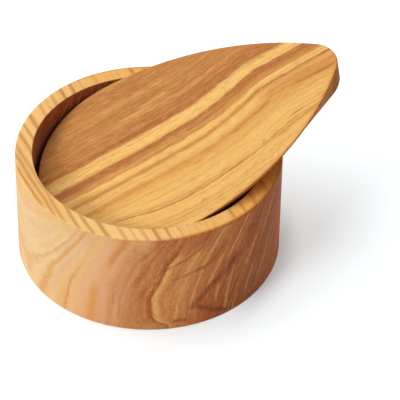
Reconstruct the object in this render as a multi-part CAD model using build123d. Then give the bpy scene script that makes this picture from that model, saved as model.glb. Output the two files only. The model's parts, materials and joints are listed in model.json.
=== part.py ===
"""Salt box with a hinged lid.

A turned olive-wood cup holds a flat, egg-shaped wooden lid. The lid's round end lies just
inside the cup's wall and its pointed end, the beak, reaches out over the rim. Two steel pins
carry the lid across the cup's diameter. Each pin was pushed in from outside through a hole in
the wall, and a wooden plug closes the hole flush.

Millimetres. +Z is up and the origin is the middle of the cup's underside. +X points the way
the beak does and Y runs along the pins. The lid is placed as it rests: its undercut sides lie
on the rim, the beak is raised and the round end dips into the cup.
"""

from build123d import *
from math import acos, atan2, cos, hypot, radians, sin
import os

# Cup
CUP_DIAMETER = 100.0
CUP_HEIGHT = 45.2
WALL = 6.5
FLOOR = 6.0
INSIDE_CORNER_RADIUS = 4.0
RIM_OUTER_RADIUS = 0.9
RIM_INNER_RADIUS = 0.4
BASE_EDGE_RADIUS = 0.6

# Lid, measured in its own plane from the pins' axis
LID_THICKNESS = 7.4
LID_GAP = 0.9  # between the round end and the cup's wall
BEAK_REACH = 81.0
BEAK_TIP_RADIUS = 12.0
SHOULDER_SHARE = 0.5  # share of each side arc that stands over a shoulder of the underside
LID_EDGE_RADIUS = 0.5

# Underside of the lid, set in from the top by the undercut
UNDERSIDE_INSET = 5.0
UNDERSIDE_TIP_SETBACK = 1.1
UNDERSIDE_TIP_RADIUS = 13.7
SHOULDER_DROP = 56.0  # how far past the middle line the shoulder arcs have their centres

# Lid at rest on the rim
REST_TILT = 17.0
LID_DROP = 1.45  # from the rim down to the lid's top face, over the pins
SEAT_GAP = 0.25

# Pins and the plugs that close their holes
PIN_DIAMETER = 2.5
PIN_IN_LID = 10.0
PIN_CHAMFER = 0.3
PIN_CLEARANCE = 0.05
PIN_END_GAP = 0.3
PLUG_DIAMETER = 5.0
PLUG_LENGTH = 2.5

# Worked out from the sizes above
CUP_RADIUS = CUP_DIAMETER / 2
BORE_RADIUS = CUP_RADIUS - WALL
LID_RADIUS = BORE_RADIUS - LID_GAP
PIVOT_DEPTH = LID_THICKNESS / 2
PIVOT_HEIGHT = CUP_HEIGHT - LID_DROP - PIVOT_DEPTH / cos(radians(REST_TILT))
PIN_RADIUS = PIN_DIAMETER / 2
PIN_START = LID_RADIUS - PIN_IN_LID
PLUG_RADIUS = PLUG_DIAMETER / 2
PLUG_SEAT = CUP_RADIUS - PLUG_LENGTH
PIN_END = PLUG_SEAT - PIN_END_GAP
ON_BASE = (Align.CENTER, Align.CENTER, Align.MIN)


def make_cup():
    """The turned cup: flat base, straight wall, rounded rim and a filleted inside corner."""
    blank = Cylinder(CUP_RADIUS, CUP_HEIGHT, align=ON_BASE)
    hollow = Pos(0, 0, FLOOR) * Cylinder(BORE_RADIUS, CUP_HEIGHT - FLOOR, align=ON_BASE)
    cup = blank - hollow
    by_height = cup.edges().filter_by(GeomType.CIRCLE).group_by(Axis.Z)
    base_edge = by_height[0]
    inside_corner = by_height[1]
    rim_inner, rim_outer = by_height[-1].sort_by(lambda edge: edge.radius)
    cup = fillet(inside_corner, INSIDE_CORNER_RADIUS)
    cup = fillet(same_circle(cup, base_edge[0]), BASE_EDGE_RADIUS)
    cup = fillet(same_circle(cup, rim_outer), RIM_OUTER_RADIUS)
    cup = fillet(same_circle(cup, rim_inner), RIM_INNER_RADIUS)
    for side in (1, -1):
        cup -= along_y(side, 0, CUP_RADIUS, PIN_RADIUS + PIN_CLEARANCE)
        cup -= along_y(side, PLUG_SEAT, CUP_RADIUS + WALL, PLUG_RADIUS)
    return cup


def same_circle(shape, edge):
    """The circular edge of shape that has the height and radius of edge."""
    return [
        other
        for other in shape.edges().filter_by(GeomType.CIRCLE)
        if abs(other.radius - edge.radius) < 0.01
        and abs(other.arc_center.Z - edge.arc_center.Z) < 0.01
    ]


def along_y(side, start, end, radius):
    """A rod on the pins' axis, from start to end out from the middle, on one side."""
    rod = Cylinder(radius, end - start, align=ON_BASE)
    return Pos(0, side * start, PIVOT_HEIGHT) * Rot(-90 * side, 0, 0) * rod


def top_outline():
    """The lid's upper outline: half a circle, two side arcs and a round tip, all tangent."""
    tip_centre = BEAK_REACH - BEAK_TIP_RADIUS
    side_radius = (tip_centre**2 + LID_RADIUS**2 - BEAK_TIP_RADIUS**2) / (
        2 * (LID_RADIUS - BEAK_TIP_RADIUS)
    )
    side_drop = side_radius - LID_RADIUS
    span = atan2(side_drop, tip_centre)

    def side_point(angle):
        return (side_radius * cos(angle), side_radius * sin(angle) - side_drop)

    split = radians(90) - (radians(90) - span) * SHOULDER_SHARE
    start = (0, LID_RADIUS)
    shoulder = side_point(split)
    tip_start = side_point(span)
    upper = [
        ThreePointArc(start, side_point((split + radians(90)) / 2), shoulder),
        ThreePointArc(shoulder, side_point((split + span) / 2), tip_start),
    ]
    return mirrored_outline(upper, tip_start, (BEAK_REACH, 0), LID_RADIUS)


def underside_outline():
    """The lid's lower outline: round end, curved shoulders, straight sides and a round tip."""
    round_radius = LID_RADIUS - UNDERSIDE_INSET
    shoulder_radius = round_radius + SHOULDER_DROP
    reach = BEAK_REACH - UNDERSIDE_TIP_SETBACK
    tip_centre = reach - UNDERSIDE_TIP_RADIUS
    between_centres = hypot(tip_centre, SHOULDER_DROP)
    lean = atan2(SHOULDER_DROP, tip_centre)
    lean += acos((shoulder_radius - UNDERSIDE_TIP_RADIUS) / between_centres)

    def shoulder_point(angle):
        return (shoulder_radius * cos(angle), shoulder_radius * sin(angle) - SHOULDER_DROP)

    shoulder = shoulder_point(lean)
    tip_start = (
        tip_centre + UNDERSIDE_TIP_RADIUS * cos(lean),
        UNDERSIDE_TIP_RADIUS * sin(lean),
    )
    upper = [
        ThreePointArc((0, round_radius), shoulder_point((lean + radians(90)) / 2), shoulder),
        Line(shoulder, tip_start),
    ]
    return mirrored_outline(upper, tip_start, (reach, 0), round_radius)


def mirrored_outline(upper, tip_start, tip, radius):
    """Close an outline from its upper side's edges, its tip and the round end's radius."""
    lower = [edge.mirror(Plane.XZ) for edge in upper]
    tip_arc = ThreePointArc(tip_start, tip, (tip_start[0], -tip_start[1]))
    round_end = ThreePointArc((0, -radius), (-radius, 0), (0, radius))
    return make_face([*upper, tip_arc, *lower, round_end])


def make_lid():
    """The lid: a flat board with undercut sides, pared where it rests on the rim."""
    board = loft(
        [
            Pos(0, 0, PIVOT_DEPTH - LID_THICKNESS) * underside_outline(),
            Pos(0, 0, PIVOT_DEPTH) * top_outline(),
        ],
        ruled=True,
    )
    top_edges = board.faces().sort_by(Axis.Z)[-1].edges()
    board = fillet(top_edges, LID_EDGE_RADIUS)
    for side in (1, -1):
        hole = Cylinder(PIN_RADIUS, LID_RADIUS, align=ON_BASE)
        board -= Pos(0, side * PIN_START, 0) * Rot(-90 * side, 0, 0) * hole
    lid = Pos(0, 0, PIVOT_HEIGHT) * Rot(0, -REST_TILT, 0) * board
    ring_top = CUP_HEIGHT + SEAT_GAP
    ring = Cylinder(BEAK_REACH, ring_top, align=ON_BASE)
    ring -= Cylinder(BORE_RADIUS - SEAT_GAP, ring_top, align=ON_BASE)
    return lid - ring


def make_pin(side):
    """A plain steel pin, pressed into the lid's edge and running in the cup's wall."""
    pin = along_y(side, PIN_START, PIN_END, PIN_RADIUS)
    return chamfer(pin.edges().filter_by(GeomType.CIRCLE), PIN_CHAMFER)


def make_plug(side):
    """A wooden plug that closes a pin hole and is turned flush with the cup's outside."""
    plug = along_y(side, PLUG_SEAT, CUP_RADIUS + WALL, PLUG_RADIUS)
    outside = Cylinder(CUP_RADIUS, CUP_HEIGHT, align=ON_BASE)
    return plug & outside


os.makedirs("parts", exist_ok=True)
pieces = {
    "cup": make_cup(),
    "lid": make_lid(),
    "pivot_pin_front": make_pin(-1),
    "pivot_pin_back": make_pin(1),
    "hole_plug_front": make_plug(-1),
    "hole_plug_back": make_plug(1),
}
for name, piece in pieces.items():
    export_step(piece, f"parts/{name}.step")
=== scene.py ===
"""Looks of the salt box with a hinged lid.

A turned olive-wood cup, a flat egg-shaped lid that tips on two steel pins, and the two plugs
that close the pin holes. Meshes are in metres, and the wood's figure is laid out in millimetres.
"""

import bpy
import json
from math import cos, pi, radians, sin
from mathutils import Matrix, Vector

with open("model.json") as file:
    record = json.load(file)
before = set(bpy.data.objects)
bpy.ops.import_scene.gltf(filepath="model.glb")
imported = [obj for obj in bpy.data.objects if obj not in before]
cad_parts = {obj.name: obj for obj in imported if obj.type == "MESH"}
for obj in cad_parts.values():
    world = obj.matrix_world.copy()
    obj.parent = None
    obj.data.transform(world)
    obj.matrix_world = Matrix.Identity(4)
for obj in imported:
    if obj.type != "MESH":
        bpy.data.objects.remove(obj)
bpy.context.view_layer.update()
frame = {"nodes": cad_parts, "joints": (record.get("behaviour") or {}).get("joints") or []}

# ------------------------------------------------------------------ cup
# The box's body, one block of olive wood turned hollow on a lathe, sanded and oiled. Its fibres
# run from front to back: the front and back show darker end grain, the rim and the two ends pale
# side grain.


def tone(red, green, blue):
    """A colour as the shader needs it, from its sRGB values: how it looks on a screen, 0 to 255."""
    shares = [value / 255 for value in (red, green, blue)]
    return [s / 12.92 if s <= 0.04045 else ((s + 0.055) / 1.055) ** 2.4 for s in shares] + [1.0]


class Recipe:
    """A material that is put together from nodes, one call for each."""

    def __init__(self, name):
        self.material = bpy.data.materials.new(name)
        self.material.use_nodes = True
        self.tree = self.material.node_tree
        self.tree.nodes.clear()

    def node(self, kind, inputs, **settings):
        """A new node. Inputs are named or numbered, and hold a value or another node's output."""
        new = self.tree.nodes.new("ShaderNode" + kind)
        for name, value in settings.items():
            setattr(new, name, value)
        for name, value in inputs.items():
            if isinstance(value, bpy.types.NodeSocket):
                self.tree.links.new(value, new.inputs[name])
            else:
                new.inputs[name].default_value = value
        return new

    def maths(self, operation, *values):
        return self.node("Math", dict(enumerate(values)), operation=operation).outputs[0]

    def add(self, *values):
        total = values[0]
        for value in values[1:]:
            total = self.maths("ADD", total, value)
        return total

    def times(self, *values):
        product = values[0]
        for value in values[1:]:
            product = self.maths("MULTIPLY", product, value)
        return product

    def less(self, first, second):
        return self.maths("SUBTRACT", first, second)

    def without_sign(self, value):
        return self.maths("ABSOLUTE", value)

    def point(self, x, y, z):
        return self.node("CombineXYZ", {0: x, 1: y, 2: z}).outputs[0]

    def split(self, vector):
        return self.node("SeparateXYZ", {0: vector}).outputs[:]

    def length(self, vector):
        return self.node("VectorMath", {0: vector}, operation="LENGTH").outputs["Value"]

    def reach(self, direction, vector):
        """How far a vector reaches in a direction."""
        product = self.node("VectorMath", {0: vector, 1: direction}, operation="DOT_PRODUCT")
        return product.outputs["Value"]

    def stretch(self, values, shares):
        """A place with its three measures scaled. A small share draws a pattern out that way."""
        pairs = zip(values, shares)
        return self.point(*[value if share == 1 else self.times(value, share) for value, share in pairs])

    def even_step(self, value, start, end):
        """Goes evenly from 0, at start, to 1, at end."""
        return self.node("MapRange", {"Value": value, "From Min": start, "From Max": end}).outputs[0]

    def soft_step(self, value, start, end, low=0.0, high=1.0):
        """Goes smoothly from low, at start, to high, at end."""
        inputs = {"Value": value, "From Min": start, "From Max": end, "To Min": low, "To Max": high}
        return self.node("MapRange", inputs, interpolation_type="SMOOTHSTEP").outputs[0]

    def blend(self, share, first, second):
        """A measure that goes from first to second as the share goes from 0 to 1."""
        return self.add(first, self.times(share, self.less(second, first)))

    def streak(self, across, width):
        """One on a line, where across is zero, and nothing further than width from it."""
        return self.soft_step(self.without_sign(across), width, 0.0)

    def window(self, value, start, end, fade):
        """One between start and end, and nothing further than fade outside them."""
        rise = self.soft_step(value, start - fade, start)
        return self.times(rise, self.soft_step(value, end + fade, end))

    def mix(self, share, colour, new):
        """A colour that turns into a new one as the share goes from 0 to 1."""
        return self.node("Mix", {0: share, 6: colour, 7: new}, data_type="RGBA").outputs[2]

    def mark(self, colour, new, strength, across, width, along, start, end, fade):
        """Draws a soft streak of a new colour, from start to end along a line where across is 0."""
        share = self.times(self.streak(across, width), self.window(along, start, end, fade))
        return self.mix(self.times(share, strength), colour, new)

    def noise(self, place, scale, detail=2.0, roughness=0.5):
        """Soft noise about zero, from -1 to 1 at most."""
        inputs = {"Vector": place, "Scale": scale, "Detail": detail, "Roughness": roughness}
        value = self.node("TexNoise", inputs).outputs["Fac"]
        return self.node("MapRange", {"Value": value, "To Min": -1.0}).outputs[0]

    def ramp(self, value, stops):
        """Colours along a measure in millimetres. Stops are (measure, colour) from low to high."""
        start = stops[0][0]
        end = stops[-1][0]
        node = self.node("ValToRGB", {"Fac": self.even_step(value, start, end)})
        band = node.color_ramp
        for index, (measure, colour) in enumerate(stops):
            where = (measure - start) / (end - start)
            stop = band.elements[index] if index < 2 else band.elements.new(where)
            stop.position = where
            stop.color = colour
        return node.outputs["Color"]

    def curve(self, value, points):
        """A smooth curve through points of (measure, height), both in millimetres."""
        start = points[0][0]
        end = points[-1][0]
        low = min(height for _, height in points)
        high = max(height for _, height in points)
        node = self.node("FloatCurve", {"Value": self.even_step(value, start, end)})
        line = node.mapping.curves[0]
        for index, (measure, height) in enumerate(points):
            spot = ((measure - start) / (end - start), (height - low) / (high - low))
            if index < 2:
                line.points[index].location = spot
            else:
                line.points.new(*spot)
        node.mapping.update()
        return self.add(self.times(node.outputs[0], high - low), low)

    def bump(self, height, strength, depth):
        return self.node("Bump", {"Height": height, "Strength": strength, "Distance": depth}).outputs[0]

    def finish(self, inputs):
        shader = self.node("BsdfPrincipled", inputs)
        self.node("OutputMaterial", {"Surface": shader.outputs[0]})
        return self.material


def own_place(recipe, location=(0, 0, 0), rotation=(0, 0, 0)):
    """The place on the piece in millimetres, seen from a point and a turn of its own."""
    place = recipe.node("TexCoord", {}).outputs["Object"]
    millimetres = {"Vector": place, "Location": location, "Rotation": rotation, "Scale": (0.001,) * 3}
    return recipe.node("Mapping", millimetres, vector_type="TEXTURE").outputs[0]


def own_outward(recipe):
    """The way the piece's surface faces."""
    return recipe.node("TexCoord", {}).outputs["Normal"]


LIGHT_STREAK = tone(244, 192, 110)
DARK_STREAK = tone(156, 78, 40)
PORE = tone(136, 66, 22)
DASHES_PER_MM = 1.5
PATCHES_PER_MM = 0.22
FIBRES_PER_MM = 7.0
FIBRE_STRENGTH = 0.10
GRAIN_DEPTH = 0.0001
GRAIN_STRENGTH = 0.2
SMOOTHEST = 0.54
ROUGHEST = 0.68
OILED_SHINE = {"IOR": 1.45, "Specular IOR Level": 0.1}


def oiled_wood(wood, figure, layer, along, third, streaks, pores):
    """Adds streaks, fibres and pores to a figure, and finishes it as sanded and oiled wood."""
    place = (layer, along, third)
    slow = wood.stretch(place, (1, 0.03, 0.12))
    quick = wood.stretch(place, (1, 0.09, 0.30))
    colour = figure
    # From wide, slow strips to fine, quick ones: how many cross a millimetre, and how strong the
    # dark and the light ones are.
    for strip_place, strips_per_mm, dark, light in (
        (slow, 0.35, 0.30, 0.26),
        (slow, 1.0, 0.46, 0.36),
        (quick, 1.9, 0.46, 0.36),
        (quick, 3.6, 0.30, 0.24),
    ):
        strip = wood.noise(strip_place, strips_per_mm, 2.0, 0.55)
        dark_share = wood.soft_step(strip, 0.0, 0.45, high=dark)
        light_share = wood.soft_step(strip, 0.0, -0.45, high=light)
        colour = wood.mix(wood.times(dark_share, streaks), colour, DARK_STREAK)
        colour = wood.mix(wood.times(light_share, streaks), colour, LIGHT_STREAK)
    # Short dark dashes, which gather in patches.
    dashes = wood.noise(wood.stretch(place, (1, 0.16, 0.4)), DASHES_PER_MM, 2.0, 0.6)
    patches = wood.noise(wood.stretch(place, (0.5, 0.2, 1)), PATCHES_PER_MM, 1.0)
    patch_share = wood.soft_step(patches, -0.25, 0.35, 0.1, 0.6)
    dash_share = wood.times(wood.soft_step(dashes, 0.08, 0.4), patch_share)
    colour = wood.mix(wood.times(dash_share, streaks), colour, DARK_STREAK)
    # Fine fibres, and pores between them.
    fibre = wood.noise(wood.stretch(place, (1, 0.09, 1)), FIBRES_PER_MM, 2.0, 0.6)
    colour = wood.mix(wood.soft_step(fibre, 0.0, 0.5, high=FIBRE_STRENGTH), colour, PORE)
    dots = wood.noise(wood.stretch(place, (5.0, 0.5, 5.0)), 1.0, 1.0)
    pore = wood.times(wood.soft_step(dots, 0.34, 0.56), pores)
    colour = wood.mix(pore, colour, PORE)
    # The finest strips and the fibres can be felt too, and the strips change the shine.
    hollows = wood.add(pore, wood.times(strip, 0.3))
    height = wood.less(wood.times(fibre, 0.4), hollows)
    return wood.finish({
        "Base Color": colour,
        "Roughness": wood.soft_step(strip, -0.4, 0.4, SMOOTHEST, ROUGHEST),
        "Normal": wood.bump(height, GRAIN_STRENGTH, GRAIN_DEPTH),
        **OILED_SHINE,
    })


wood = Recipe("olive_wood_cup")
place = own_place(wood)
x, y, z = wood.split(place)

# The front of the wall, from the left: a pale end, a golden line that bends round at its foot like
# a hook, brown wood inside the hook, a dark V, and a dark side with light streaks. The growth
# layers lean over with height, in each of these in its own way. Points are (height, lean).
RIM_HEIGHT = 45.2
pale_lean = wood.curve(
    z,
    [(0, -0.9), (9, -0.3), (12, 0), (16, 0.4), (21, 1.4), (25, 2.6), (30, 4.1), (34, 5.2),
     (38, 6.6), (RIM_HEIGHT, 9.2)],
)
hook_lean = wood.curve(
    z,
    [(0, 10.5), (2, 9.5), (3, 6.5), (3.6, 3.8), (4.4, 1.9), (6.5, 0.7), (9.5, 0.2), (12.5, 0),
     (16, 0.1), (19.3, 1.1), (23.2, 2.9), (28, 4.4), (31, 5.3), (33.3, 5.9), (36.6, 8.3), (41, 11),
     (RIM_HEIGHT, 14)],
)
inner_lean = wood.curve(
    z,
    [(0, -1.6), (6.5, -0.8), (9.5, -0.4), (12.5, 0), (16, 0.8), (19.5, 1.8), (23, 3), (26, 3.9),
     (35, 8.4), (RIM_HEIGHT, 13.5)],
)
dark_lean = wood.less(wood.times(z, wood.add(wood.times(z, 0.004), 0.3)), 4.2)
lean = pale_lean
for start, end, next_lean in ((-26, -20, hook_lean), (-16, -10, inner_lean), (-2, 12, dark_lean)):
    lean = wood.blend(wood.soft_step(x, start, end), lean, next_lean)

# Slow drift, wander and fray keep the layers from looking ruled.
drift = wood.noise(place, 0.05, 1.0)
wander = wood.noise(wood.stretch((x, y, z), (1, 0.3, 1)), 0.22, 2.0)
fray = wood.noise(wood.stretch((x, y, z), (1, 0.2, 0.4)), 1.1, 3.0, 0.6)
waver = wood.add(wood.times(drift, 0.6), wood.times(wander, 0.4), wood.times(fray, 0.5))
layer = wood.add(wood.less(x, lean), waver)
inner_layer = wood.add(wood.less(x, inner_lean), waver)
dark_layer = wood.add(wood.less(x, dark_lean), waver)

HONEY = tone(250, 209, 151)
DARK_HONEY = tone(249, 196, 138)
LIGHT_PEACH = tone(247, 186, 130)
PEACH = tone(243, 179, 123)
DARK_PEACH = tone(237, 169, 115)
LIGHT_AMBER = tone(227, 156, 102)
AMBER = tone(220, 147, 91)
DARK_AMBER = tone(208, 130, 81)
LIGHT_CHESTNUT = tone(199, 112, 66)
HOOK_OUTLINE = tone(172, 88, 50)
GOLD = tone(251, 182, 106)
TAN = tone(231, 147, 88)
DARK_TAN = tone(212, 127, 73)
BROWN = tone(209, 113, 64)
CHESTNUT = tone(191, 98, 57)
DARK_CHESTNUT = tone(180, 97, 60)
UMBER = tone(136, 56, 32)

# Colours across the growth layers, from the pale end to the dark side.
side_figure = wood.ramp(
    layer,
    [
        (-62, HONEY), (-48, HONEY), (-43, DARK_HONEY), (-40, LIGHT_PEACH), (-37.6, PEACH),
        (-34, DARK_PEACH), (-31, LIGHT_AMBER), (-28, AMBER), (-24, DARK_AMBER),
        (-21, LIGHT_CHESTNUT), (-19.9, HOOK_OUTLINE), (-19.4, GOLD), (-18.1, GOLD), (-16.8, TAN),
        (-9, TAN), (-5, DARK_TAN), (0, BROWN), (8, CHESTNUT), (16, CHESTNUT),
        (26, DARK_CHESTNUT), (40, BROWN), (52, CHESTNUT),
    ],
)

# The pale end: soft straw and pinkish bands, more orange under the rim.
BLUSH = tone(244, 188, 148)
STRAW = tone(242, 182, 106)
CORN = tone(240, 172, 94)
band = wood.noise(wood.stretch((layer, y, z), (1, 0.05, 0.1)), 0.35)
pale_end = wood.soft_step(x, -20, -32)
for share, colour in (
    (wood.soft_step(band, 0.0, 0.4, high=0.5), BLUSH),
    (wood.soft_step(band, 0.0, -0.4, high=0.5), STRAW),
    (wood.soft_step(z, 34, 45, high=0.3), CORN),
):
    side_figure = wood.mix(wood.times(pale_end, share), side_figure, colour)


def side_mark(figure, growth, at, width, low, high, fade, colour, strength):
    """A streak of the wall, at a place across a set of growth layers, and from low to high."""
    return wood.mark(figure, colour, strength, wood.less(growth, at), width, z, low, high, fade)


# The lines of the pale end, and the brown strips between it and the hook. Each row has the set of
# layers, the place across them, width, low end, high end, fade, colour and strength.
APRICOT = tone(226, 150, 84)
MARIGOLD = tone(234, 162, 90)
GINGER = tone(224, 142, 72)
TANGERINE = tone(236, 158, 80)
COPPER = tone(222, 134, 72)
CARAMEL = tone(226, 146, 80)
RUSSET = tone(190, 104, 54)
ROSE = tone(216, 150, 106)
MELON = tone(236, 158, 90)
CINNAMON = tone(210, 120, 60)
SAFFRON = tone(240, 164, 92)
for streak in (
    (layer, -49.6, 0.6, 0, 45, 2, APRICOT, 0.4),
    (layer, -47.8, 0.9, 2, 44, 6, MARIGOLD, 0.75),
    (layer, -46.2, 1.4, 10, 38, 6, BLUSH, 0.6),
    (layer, -43.6, 0.6, 2, 24, 5, GINGER, 0.6),
    (layer, -43.4, 1.4, 22, 38, 6, STRAW, 0.5),
    (layer, -39.5, 1.8, 14, 38, 6, BLUSH, 0.7),
    (layer, -37.5, 2.0, 0, 15, 9, TANGERINE, 0.75),
    (layer, -36.6, 2.4, 34, 45, 6, COPPER, 0.7),
    (layer, -35.4, 1.2, 18, 36, 6, BLUSH, 0.4),
    (layer, -32.8, 1.5, 0, 34, 8, CARAMEL, 0.6),
    (layer, -31.9, 0.5, 13, 17, 2, RUSSET, 0.5),
    (layer, -30.9, 1.2, 16, 38, 6, ROSE, 0.45),
    (layer, -28.6, 1.0, 22, 42, 5, MELON, 0.5),
    (layer, -26.6, 1.5, 24, 45, 5, CHESTNUT, 0.65),
    (layer, -23.0, 1.2, 0, 20, 6, CHESTNUT, 0.5),
    (layer, -25.2, 0.8, 4, 40, 6, TAN, 0.45),
    (layer, -29.8, 0.9, 6, 45, 6, CINNAMON, 0.5),
    (layer, -22.0, 0.6, 10, 44, 6, SAFFRON, 0.45),
):
    side_figure = side_mark(side_figure, *streak)

# The hook fades near the rim, where the wood is darker, and thin light lines stand inside it.
under_rim = wood.times(wood.window(x, -16, 2, 5), wood.soft_step(z, 34, 42, high=0.6))
side_figure = wood.mix(under_rim, side_figure, CHESTNUT)
for streak in (
    (layer, -18.4, 2.0, 37, 46, 3, BROWN, 0.8),
    (layer, -17.6, 0.9, 30, 37, 2, TAN, 0.7),
    (inner_layer, -10.5, 0.9, 6, 24, 2, GOLD, 0.75),
    (inner_layer, -5.1, 1.1, 8, 26, 2, GOLD, 0.8),
    (inner_layer, -11.8, 1.6, 28, 35, 2, GOLD, 0.7),
    (inner_layer, -7.6, 1.2, 6, 14, 4, TAN, 0.6),
):
    side_figure = side_mark(side_figure, *streak)


def crossing_line(figure, colour, strength, width, points, fade=2.0):
    """A line that runs over the layers. Its points are (x, height)."""
    across = wood.less(wood.less(z, wood.curve(x, points)), wood.times(wander, 0.4))
    return wood.mark(figure, colour, strength, across, width, x, points[0][0], points[-1][0], fade)


# The dark V: one arm stands, with points of (height, x), and the other lies along the foot.
standing_arm = wood.curve(
    z, [(9.5, -4.4), (11.6, -3), (15.4, 0.3), (18.4, 3.3), (21.4, 6.6), (26, 12.6)]
)
side_figure = wood.mark(side_figure, UMBER, 0.8, wood.less(x, standing_arm), 3.0, z, 9, 26, 2)
lying_arm = [(-4, 10.5), (-1.2, 8.3), (1.8, 6.4), (4.8, 4.6), (13, 2.2)]
side_figure = crossing_line(side_figure, UMBER, 0.8, 2.2, lying_arm)
# A small dark eye in the hook's foot.
side_figure = crossing_line(side_figure, UMBER, 0.6, 1.5, [(-11.5, 3.9), (-9.8, 4.1), (-7.6, 3.7)], 1.5)

# Light streaks of the dark side, from the V to the beak's end, then dark patches between them.
for streak in (
    (inner_layer, 5.0, 1.2, 10, 16, 2, GOLD, 0.75),
    (dark_layer, -8.6, 1.6, 30, 46, 2, GOLD, 0.85),
    (dark_layer, -6.2, 0.7, 37, 46, 2, GOLD, 0.6),
    (dark_layer, -1.2, 1.4, 20, 30, 2, GOLD, 0.75),
    (dark_layer, 2.4, 1.1, 30, 44, 3, GOLD, 0.85),
    (dark_layer, 5.0, 1.4, 32, 43, 4, TAN, 0.7),
    (inner_layer, 10.1, 1.3, 5, 21, 3, GOLD, 0.7),
    (dark_layer, 15.0, 1.0, 21, 29, 2, GOLD, 0.7),
    (dark_layer, 20.4, 1.0, 7, 16, 2, GOLD, 0.6),
    (dark_layer, 16.3, 0.9, 0, 6, 2, GOLD, 0.55),
    (dark_layer, 26.8, 1.8, 8, 18, 4, TAN, 0.6),
    (dark_layer, 19.2, 2.0, 31, 38, 4, TAN, 0.6),
    (dark_layer, 6.7, 2.6, 21, 27, 3, UMBER, 0.55),
    (dark_layer, 10.9, 2.4, 29, 39, 4, UMBER, 0.5),
    (dark_layer, 13.5, 1.8, 7, 14, 3, UMBER, 0.5),
    (dark_layer, 21.7, 2.6, 22, 34, 4, UMBER, 0.4),
):
    side_figure = side_mark(side_figure, *streak)

# Two thin dark lines that wave over the streaks.
RED_LINE = tone(140, 50, 20)
upper_line = [
    (-15, 30), (-12.6, 31.4), (-10, 32.8), (-7.4, 34.1), (-5.4, 35.5), (-3.4, 36.8), (-1, 38.5),
    (0.4, 43),
]
lower_line = [
    (-11, 24.7), (-8.3, 26.2), (-6, 26.7), (-3.6, 27.6), (-1.2, 28.2), (1.2, 29.1), (3.6, 31.2),
    (6, 33.9), (8, 36.8),
]
side_figure = crossing_line(side_figure, RED_LINE, 0.6, 1.0, upper_line)
side_figure = crossing_line(side_figure, RED_LINE, 0.5, 1.1, lower_line)

# Painted shade: the bore is painted darker, standing in for the shade inside the cup.
PAINTED_BORE_SHADE = tone(121, 43, 26)
BORE_SIDE = 44.0
OUTER_SIDE = 46.0
radius = wood.maths("SQRT", wood.add(wood.times(x, x), wood.times(y, y)))
side_figure = wood.mix(wood.soft_step(radius, OUTER_SIDE, BORE_SIDE, high=0.8), side_figure, PAINTED_BORE_SHADE)

# The rim is cut along the fibres: yellow, more orange toward the beak and the back.
RIM = tone(246, 201, 128)
RIM_AT_PALE_END = tone(238, 188, 112)
RIM_GOLD = tone(242, 184, 96)
RIM_ORANGE = tone(244, 167, 75)
rim_figure = wood.mix(wood.soft_step(x, -36, -46, high=0.8), RIM, RIM_AT_PALE_END)
rim_figure = wood.mix(wood.soft_step(x, -16, 2, high=0.75), rim_figure, RIM_GOLD)
rim_figure = wood.mix(wood.soft_step(x, 8, 30, high=0.9), rim_figure, RIM_ORANGE)
rim_figure = wood.mix(wood.soft_step(y, 10, 40, high=0.15), rim_figure, RIM_ORANGE)

# Soft brown lines where the growth layers cross the rim: place, width and strength.
RIM_LINE = tone(190, 118, 56)
rim_x = wood.add(x, wood.times(wander, 0.9))
for line_x, width, strength in (
    (-48.4, 1.1, 0.65), (-46.2, 1.1, 0.6), (-44.2, 1.3, 0.5), (-40.6, 1.3, 0.65), (-37.2, 1.2, 0.65),
    (-33, 1.5, 0.7), (-27.4, 1.3, 0.5), (-24, 0.9, 0.35), (-20.8, 1.2, 0.5), (-16.6, 1.4, 0.8),
    (-12.4, 1.2, 0.8), (-8, 0.8, 0.4), (-2, 0.8, 0.25), (5, 0.8, 0.25), (13, 1.3, 0.75), (18, 1.4, 0.6),
    (23.5, 1.6, 0.5), (30, 1.6, 0.5),
):
    on_line = wood.streak(wood.less(rim_x, line_x), width)
    rim_figure = wood.mix(wood.times(on_line, strength), rim_figure, RIM_LINE)

# The rim's outer band is darker and more orange, except at the pale end.
OUTER_BAND = tone(220, 138, 52)
BAND_STARTS_AT = 48.2
BAND_IS_FULL_AT = 49.3
outer_band = wood.times(
    wood.soft_step(radius, BAND_STARTS_AT, BAND_IS_FULL_AT, high=0.7), wood.soft_step(x, -18, -4)
)
rim_figure = wood.mix(outer_band, rim_figure, OUTER_BAND)

# Level faces show the rim's figure, and upright ones the wall's.
upward = wood.split(own_outward(wood))[2]
level_face = wood.soft_step(wood.without_sign(upward), 0.35, 0.75)
figure = wood.mix(level_face, side_figure, rim_figure)

# The rim's rounded outer edge is darker too, most of all on the dark side.
ROUNDED_EDGE = tone(190, 104, 36)
EDGE_STARTS_AT = 48.4
EDGE_IS_FULL_AT = 49.2
rounded = wood.times(
    wood.window(upward, 0.1, 0.85, 0.1),
    wood.soft_step(radius, EDGE_STARTS_AT, EDGE_IS_FULL_AT),
    wood.soft_step(x, -32, 5, high=0.85),
)
figure = wood.mix(rounded, figure, ROUNDED_EDGE)

# The pale end has few streaks, and the rim fewer than the wall.
streaks = wood.times(
    wood.soft_step(x, -34, -18, 0.1, 0.64), wood.soft_step(level_face, 0.0, 1.0, 1.0, 0.45)
)
cup_material = oiled_wood(wood, figure, layer, y, z, streaks, pores=0.05)
frame["nodes"]["cup"].data.materials[0] = cup_material

# ------------------------------------------------------------------ lid
# One flat board of olive wood, sawn along the fibres, which run from the round end to the beak.
# Its stripes bend once, over the middle. Its edges are undercut, and it is sanded and oiled.

REST_TILT = radians(17.0)
HALF_THICKNESS = 3.7
pins_axis = frame["joints"][0]["pos_m"]

board = Recipe("olive_wood_lid")
u, v, w = board.split(own_place(board, pins_axis, (0, -REST_TILT, 0)))

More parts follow.
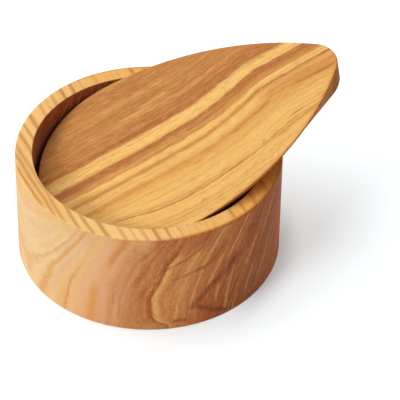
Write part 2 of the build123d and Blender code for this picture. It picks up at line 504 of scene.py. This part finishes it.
# How far the growth layers bend sideways on the way to the beak, on the far and the near side.
# Points are (place from the pins toward the beak, bend).
far_bend = board.curve(
    u,
    [(-45, 0), (10, 0), (22, 0.6), (28, 1.6), (34, 2.9), (38, 4.2), (42, 5.4), (46, 6.7),
     (50, 7.8), (54, 8.4), (60, 8.5), (72, 8.5), (85, 8.3)],
)
near_bend = board.curve(
    u,
    [(-45, 17), (-22, 5.7), (-16, 3.5), (-11, 1.8), (-4, 0.6), (6, 0), (12, 0.1), (18, 0.6),
     (26, 1.7), (35, 3.1), (46, 5.3), (54, 7.2), (62, 8.7), (70, 9.2), (85, 9.5)],
)
far_bend = board.times(far_bend, board.soft_step(v, 9.0, 18.0, 1.0, 0.78))
bend = board.blend(board.soft_step(v, -14, -26), far_bend, near_bend)

# Slow drift, wander and fray keep the layers from looking ruled, and they lean through the board.
drift = board.noise(board.stretch((u, v, w), (0.4, 1, 1)), 0.07, 1.0)
wander = board.noise(board.stretch((u, v, w), (0.35, 1, 1)), 0.35, 2.0)
fray = board.noise(board.stretch((u, v, w), (0.16, 1.1, 1)), 1.0, 3.0, 0.6)
depth = board.less(HALF_THICKNESS, w)
layer = board.add(
    board.less(v, bend), board.times(drift, 0.5), board.times(wander, 0.45),
    board.times(fray, 0.9), board.times(depth, 0.3),
)

PALE_STRIPE = tone(244, 196, 113)
GILT = tone(239, 189, 108)
DARK_GILT = tone(226, 166, 86)
LIGHT_SAND = tone(222, 160, 82)
SAND = tone(209, 145, 76)
FAWN = tone(192, 129, 70)
RUST = tone(180, 110, 57)
COCOA = tone(156, 86, 40)

# Colours across the growth layers, from the near side to the far side.
figure = board.ramp(
    layer,
    [
        (-46, GILT), (-29.5, GILT), (-28.7, SAND), (-28.0, GILT), (-18.5, GILT),
        (-15.5, DARK_GILT), (-13, LIGHT_SAND), (-11.4, GILT), (-8.3, GILT),
        (-7.0, SAND), (-6.2, SAND), (-5.0, GILT), (-3.2, PALE_STRIPE), (-2.4, SAND), (-0.8, SAND),
        (0.2, FAWN), (3.4, RUST), (4.4, PALE_STRIPE), (9.7, PALE_STRIPE), (11.0, RUST),
        (14, RUST), (19, FAWN), (46, FAWN),
    ],
)

WALNUT = tone(178, 106, 54)
ORANGE_GRAIN = tone(204, 126, 64)
# Streaks. Each row has the place across the layers, width, start and end along them, fade, colour
# and strength.
for at, width, start, end, fade, colour, strength in (
    # The brown stripe: a thin line by its near edge, a dark far edge and a paler middle.
    (-1.7, 0.5, 2, 10, 2, COCOA, 0.45),
    (2.8, 1.2, 40, 55, 4, COCOA, 0.8),
    (-0.6, 1.6, 45, 54, 5, SAND, 0.4),
    (1.2, 3.6, 46, 90, 8, WALNUT, 0.65),
    (1.5, 4.0, 66, 90, 8, RUST, 0.7),
    # The pale stripe's line, and the line past the second pale stripe.
    (5.6, 0.5, 56, 90, 3, SAND, 0.5),
    (-6.1, 0.7, 46, 90, 8, COCOA, 0.65),
    # The orange part of the beak and its streaks.
    (-10.3, 4.2, 54, 90, 12, ORANGE_GRAIN, 0.75),
    (-9.1, 0.5, 62, 70, 3, RUST, 0.5),
    (-11.5, 0.6, 66, 76, 3, COCOA, 0.35),
    (-13.5, 1.1, 64, 90, 5, RUST, 0.9),
    (-12.0, 0.4, 50, 56, 3, RUST, 0.5),
    (-13.8, 0.8, 43, 49, 2, RUST, 0.8),
    (-13.6, 1.2, 32, 42, 3, RUST, 0.6),
    # Thin lines of the near side.
    (-28.7, 0.6, -20, 26, 8, COCOA, 0.5),
    (-34.4, 0.4, -6, 40, 6, COCOA, 0.4),
    (-36.9, 0.4, -9, 13, 3, RUST, 0.4),
    (-27.6, 0.5, 40, 70, 4, COCOA, 0.55),
    (-25.9, 0.5, 54, 70, 4, COCOA, 0.6),
    (-29.4, 1.2, 48, 70, 6, SAND, 0.7),
    (-21.8, 0.5, 58, 70, 3, SAND, 0.5),
    # Pale and rusty streaks of the far side.
    (23.4, 1.0, 9, 18, 4, PALE_STRIPE, 0.6),
    (21.5, 0.8, 0, 8, 5, PALE_STRIPE, 0.3),
    (12.4, 1.2, 12, 22, 4, RUST, 0.5),
    (16.5, 2.5, 23, 34, 6, RUST, 0.5),
):
    across = board.less(layer, at)
    figure = board.mark(figure, colour, strength, across, width, u, start, end, fade)

# Soft brown bands of the near side.
band = board.noise(board.stretch((layer, u, w), (1, 0.015, 1)), 0.45, 3.0, 0.6)
near_side = board.soft_step(layer, -9, -14)
figure = board.mix(board.times(board.soft_step(band, 0.0, 0.4, high=0.6), near_side), figure, SAND)

# The near edge of the beak is painted orange-brown, as painted shade where its rounded edge turns down
# into shadow. It follows the lid's side arc, whose middle lies past the lid's middle line.
PAINTED_NEAR_EDGE_SHADE = tone(216, 130, 56)
NEAR_EDGE_STARTS_IN = 2.2
NEAR_EDGE_IS_FULL_IN = 0.4
SIDE_ARC_RADIUS = 105.09
SIDE_ARC_MIDDLE = 62.49
from_arc_middle = board.length(board.point(u, board.less(v, SIDE_ARC_MIDDLE), 0.0))
near_edge_starts = SIDE_ARC_RADIUS - NEAR_EDGE_STARTS_IN
near_edge_is_full = SIDE_ARC_RADIUS - NEAR_EDGE_IS_FULL_IN
painted_near_edge_shade = board.times(
    board.soft_step(from_arc_middle, near_edge_starts, near_edge_is_full, high=0.6),
    board.soft_step(u, 0, 25),
    board.soft_step(v, 0, -6),
)
figure = board.mix(painted_near_edge_shade, figure, PAINTED_NEAR_EDGE_SHADE)

# The cut edges are painted darker, as painted shade on sides that face down and away from the lamps, and
# the end grain of the round end and the tip is darker still, as end grain is.
EDGE_SHADE_AND_END_GRAIN = tone(190, 100, 40)
ALONG_FIBRES = (cos(REST_TILT), 0.0, sin(REST_TILT))
THROUGH_BOARD = (-sin(REST_TILT), 0.0, cos(REST_TILT))
outward = own_outward(board)
endwise = board.without_sign(board.reach(ALONG_FIBRES, outward))
flat = board.without_sign(board.reach(THROUGH_BOARD, outward))
edge = board.soft_step(flat, 0.95, 0.6, high=0.8)
end_grain = board.soft_step(endwise, 0.3, 1.0, high=0.08)
figure = board.mix(board.add(edge, end_grain), figure, EDGE_SHADE_AND_END_GRAIN)

# The far side has more streaks than the near side.
streaks = board.soft_step(layer, -14, 10, 0.42, 0.7)
lid_material = oiled_wood(board, figure, layer, u, w, streaks, pores=0.08)
frame["nodes"]["lid"].data.materials[0] = lid_material

# ------------------------------------------------------------------ pivot pins
# Two short pins of bright drawn steel, pushed in from outside and pressed into the lid's edge.
# Only the short stretch between the lid and the cup's wall can be seen.

STEEL = tone(196, 198, 200)
DULL_STEEL = tone(150, 152, 156)
BRIGHT_ROUGHNESS = 0.22
DULL_ROUGHNESS = 0.38
DRAWN_DEPTH = 0.00005
DRAWN_STRENGTH = 0.1

steel = Recipe("pin_steel")
drawn_lines = steel.stretch(steel.split(own_place(steel)), (6.0, 0.2, 6.0))
drawn = steel.noise(drawn_lines, 1.0, 3.0)
pin_material = steel.finish({
    "Base Color": steel.mix(steel.soft_step(drawn, -0.5, 0.5), STEEL, DULL_STEEL),
    "Metallic": 1.0,
    "Roughness": steel.soft_step(drawn, -0.5, 0.5, BRIGHT_ROUGHNESS, DULL_ROUGHNESS),
    "Normal": steel.bump(drawn, DRAWN_STRENGTH, DRAWN_DEPTH),
})
for name in ("pivot_pin_front", "pivot_pin_back"):
    frame["nodes"][name].data.materials[0] = pin_material

# ------------------------------------------------------------------ hole plugs
# Two short plugs that close the pins' holes. They are cut from the same olive wood, set with the
# grain in line and turned flush, so they carry on the cup's figure.

for name in ("hole_plug_front", "hole_plug_back"):
    frame["nodes"][name].data.materials[0] = cup_material

# ------------------------------------------------------------------ floor
# A plain white table top. It glows a little to what sees it directly, so that it reads as white
# and keeps the box's shadow, and lights nothing. Far out it is as white as the surround.

FLOOR_SIZE = 4.0
FLOOR_COLOUR = (0.69, 0.755, 0.785, 1.0)
FLOOR_GLOW = 0.49
GLOW_RISES_FROM = 0.25
GLOW_IS_FULL_AT = 0.9


def seen_directly(recipe):
    """One for what the camera sees, straight, mirrored or through glass, and nothing for light."""
    paths = recipe.node("LightPath", {}).outputs
    mirrored = recipe.maths("MAXIMUM", paths["Is Glossy Ray"], paths["Is Transmission Ray"])
    return recipe.maths("MAXIMUM", paths["Is Camera Ray"], mirrored)


bpy.ops.mesh.primitive_plane_add(size=FLOOR_SIZE, location=(0, 0, 0))
floor = bpy.context.object
floor.name = "floor"
table = Recipe("white_table")
matt = table.node("BsdfDiffuse", {"Color": FLOOR_COLOUR})
spot = table.node("TexCoord", {}).outputs["Object"]
glow_level = table.soft_step(table.length(spot), GLOW_RISES_FROM, GLOW_IS_FULL_AT, FLOOR_GLOW, 1.0)

# Painted contact shadow: less glow in the crevice round the base, and least on the side turned away from
# the lamps.
CREVICE_REACH = 0.012
HALF_OPEN = 0.5
WIDE_OPEN = 1.0
CREVICE_GLOW_IN_LIGHT = 0.93
CREVICE_GLOW_IN_SHADOW = 0.55
SHADOW_SIDE = radians(-42)
SHADOW_STARTS_AT = 0.040
SHADOW_IS_FULL_AT = 0.050
openness = table.node("AmbientOcclusion", {"Distance": CREVICE_REACH}, samples=16).outputs["AO"]
behind = table.reach((cos(SHADOW_SIDE), sin(SHADOW_SIDE), 0.0), spot)
crevice_glow = table.soft_step(
    behind, SHADOW_STARTS_AT, SHADOW_IS_FULL_AT, CREVICE_GLOW_IN_LIGHT, CREVICE_GLOW_IN_SHADOW
)
out_of_crevice = table.soft_step(openness, HALF_OPEN, WIDE_OPEN)
glow_level = table.times(glow_level, table.blend(out_of_crevice, crevice_glow, 1.0))
glow = table.node("Emission", {"Strength": table.times(seen_directly(table), glow_level)})
both = table.node("AddShader", {0: matt.outputs[0], 1: glow.outputs[0]})
table.node("OutputMaterial", {"Surface": both.outputs[0]})
floor.data.materials.append(table.material)

# ------------------------------------------------------------------ light
# Soft studio light: an even pale surround, one large lamp high behind on the left, and a smaller
# one low on the left.

SKY_LIGHT = 0.316


class Surround(Recipe):
    """A world that is put together from nodes, as a material is."""

    def __init__(self, name):
        world = bpy.data.worlds.new(name)
        bpy.context.scene.world = world
        world.use_nodes = True
        self.tree = world.node_tree
        self.tree.nodes.clear()


surround = Surround("pale_surround")
level = surround.blend(seen_directly(surround), SKY_LIGHT, 1.0)
sky = surround.node("Background", {"Color": (1.0, 1.0, 1.0, 1.0), "Strength": level})
surround.node("OutputWorld", {"Surface": sky.outputs[0]})


def soft_lamp(name, toward, distance, size, power):
    """A round lamp that faces the box from a direction."""
    data = bpy.data.lights.new(name, "AREA")
    data.shape = "DISK"
    data.size = size
    data.energy = power
    lamp = bpy.data.objects.new(name, data)
    bpy.context.scene.collection.objects.link(lamp)
    lamp.location = Vector(toward).normalized() * distance
    lamp.rotation_euler = lamp.location.to_track_quat("Z", "Y").to_euler()


soft_lamp("high_lamp", toward=(-0.19, 0.36, 0.91), distance=1.1, size=1.0, power=7.1)
soft_lamp("low_lamp", toward=(-0.81, -0.3, 0.5), distance=1.5, size=0.6, power=8.9)

# ------------------------------------------------------------------ camera
# It looks down on the box from the front left, from about a metre away, with a long lens. The
# middle of the base isn't in the middle of the view, so it is aimed a little to the side and up.

CAMERA_TURN = radians(-24.153)
CAMERA_DIP = radians(42.707)
CAMERA_AWAY = 0.9956
AIM_SIDEWAYS = radians(-1.13)
AIM_UP = radians(0.859)
LENS = 232.91
SENSOR = 36.0
FARTHEST_SEEN = 10.0

camera_data = bpy.data.cameras.new("camera")
camera_data.sensor_width = SENSOR
camera_data.lens = LENS
camera_data.clip_end = FARTHEST_SEEN
camera = bpy.data.objects.new("camera", camera_data)
bpy.context.scene.collection.objects.link(camera)
camera.matrix_world = (
    Matrix.Rotation(CAMERA_TURN, 4, "Z")
    @ Matrix.Translation((0, -CAMERA_AWAY * cos(CAMERA_DIP), CAMERA_AWAY * sin(CAMERA_DIP)))
    @ Matrix.Rotation(pi / 2 - CAMERA_DIP, 4, "X")
    @ Matrix.Rotation(AIM_SIDEWAYS, 4, "Y")
    @ Matrix.Rotation(AIM_UP, 4, "X")
)
bpy.context.scene.camera = camera
bpy.context.scene.view_settings.view_transform = "Standard"
